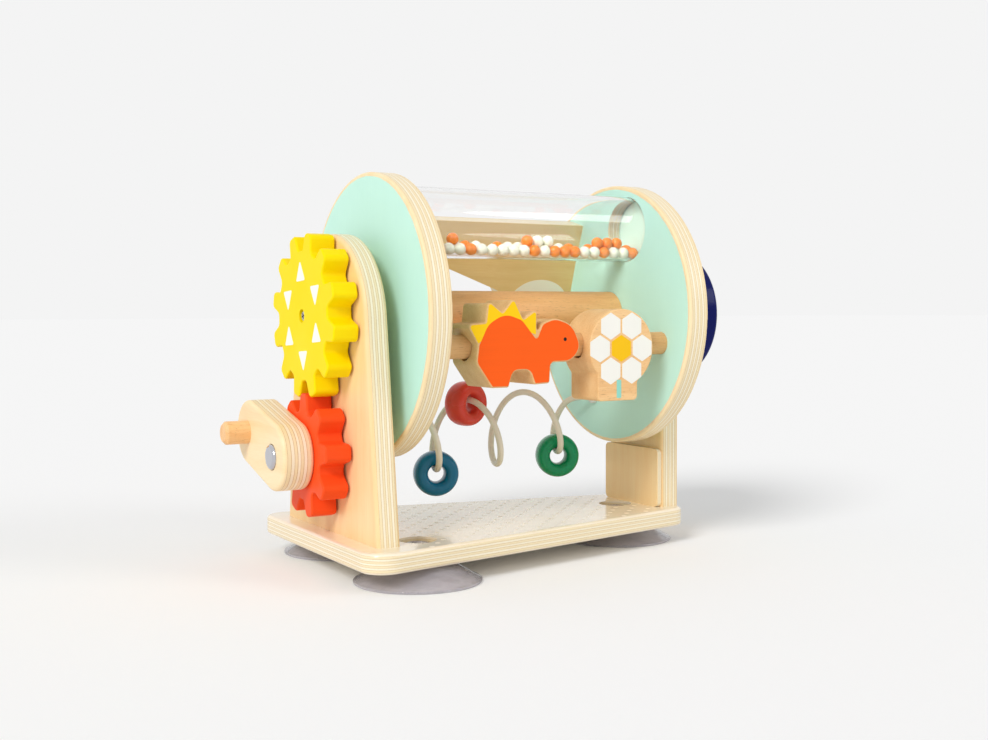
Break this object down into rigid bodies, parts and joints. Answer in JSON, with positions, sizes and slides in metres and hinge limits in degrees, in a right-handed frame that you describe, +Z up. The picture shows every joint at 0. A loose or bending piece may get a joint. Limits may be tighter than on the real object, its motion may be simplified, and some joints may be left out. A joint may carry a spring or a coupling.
{
  "type": "wooden crank gear toy",
  "caption": "Wooden activity toy: a crank and gears turn a drum with a bead tube, spinning figure blocks and a looped bead wire between two uprights on a suction-cup base.",
  "frame": {"origin": "on the floor, under the middle of the overall box", "axes": "+X along the drum's axle from the crank to the knob, -Y to the front, +Z up"},
  "size_m": [0.266, 0.155, 0.2012],
  "materials": {
    "plywood": "sanded and clear lacquered, layers bare at the edges",
    "beech": "turned or cut beech, satin",
    "mint_paint": "plywood with matte mint faces and a bare rim",
    "yellow_paint": "wood, satin yellow paint with white triangles",
    "red_paint": "wood, satin red paint",
    "navy_paint": "wood, gloss navy paint",
    "teal_paint": "wood, gloss teal paint",
    "coral_paint": "wood, gloss coral paint",
    "green_paint": "wood, gloss green paint",
    "orange_balls": "gloss orange",
    "cream_balls": "gloss cream",
    "clear_acrylic": "clear acrylic tube",
    "clear_vinyl": "soft clear vinyl",
    "cream_wire": "steel wire, cream coating",
    "steel": "plain steel",
    "bright_steel": "bright plated steel"
  },
  "bodies": {
    "stand": {"base_plate": "plywood", "suction_cups": "clear_vinyl", "left_upright": "plywood", "right_upright": "plywood", "upright_spacer": "plywood", "upright_screws": "steel", "crank_axle": "steel", "crank_cap": "bright_steel"},
    "drum": {"left_disc": "mint_paint", "right_disc": "mint_paint", "center_beam": "beech", "left_axle": "beech", "right_axle": "beech", "left_spacer": "beech", "right_spacer": "beech", "drum_gear": "yellow_paint", "gear_screw": "steel", "hand_knob": "navy_paint", "bead_tube": "clear_acrylic", "figure_rod": "beech", "back_panel": "plywood", "panel_pins": "beech", "bead_wire": "cream_wire"},
    "crank": {"crank_gear": "red_paint", "crank_arm": "plywood", "crank_peg": "beech"},
    "balls": {"tube_balls_orange": "orange_balls", "tube_balls_cream": "cream_balls"},
    "dinosaur": {"dinosaur_block": "beech"},
    "flower": {"flower_block": "beech"},
    "bead_teal": {"bead_teal": "teal_paint"},
    "bead_coral": {"bead_coral": "coral_paint"},
    "bead_green": {"bead_green": "green_paint"}
  },
  "joints": [
    {"name": "drum_spin", "type": "hinge", "parent": "stand", "child": "drum", "pos_m": [0.013, 0, 0.1285], "axis": [1, 0, 0], "continuous": true},
    {"name": "crank_spin", "type": "hinge", "parent": "stand", "child": "crank", "pos_m": [0.013, 0, 0.0592], "axis": [1, 0, 0], "continuous": true},
    {"name": "balls_roll", "type": "hinge", "parent": "drum", "child": "balls", "pos_m": [0.013, -0.01528, 0.1758], "axis": [1, 0, 0], "continuous": true},
    {"name": "dinosaur_spin", "type": "hinge", "parent": "drum", "child": "dinosaur", "pos_m": [0.013, -0.0473, 0.11322], "axis": [1, 0, 0], "continuous": true},
    {"name": "flower_spin", "type": "hinge", "parent": "drum", "child": "flower", "pos_m": [0.013, -0.0473, 0.11322], "axis": [1, 0, 0], "continuous": true},
    {"name": "bead_teal_spin", "type": "hinge", "parent": "drum", "child": "bead_teal", "pos_m": [-0.02205, 0.0135, 0.0432], "axis": [0.307, 0.9517, 0], "continuous": true},
    {"name": "bead_coral_spin", "type": "hinge", "parent": "drum", "child": "bead_coral", "pos_m": [-0.0033, 0.0135, 0.0802], "axis": [0.307, -0.9517, 0], "continuous": true},
    {"name": "bead_green_spin", "type": "hinge", "parent": "drum", "child": "bead_green", "pos_m": [0.05595, 0.0135, 0.0484], "axis": [0.3497, 0.9369, 0.0002], "continuous": true}
  ],
  "couplings": [
    {"joint": "crank_spin", "follows": "drum_spin", "ratio": -1.3333},
    {"joint": "balls_roll", "follows": "drum_spin", "ratio": -1}
  ]
}
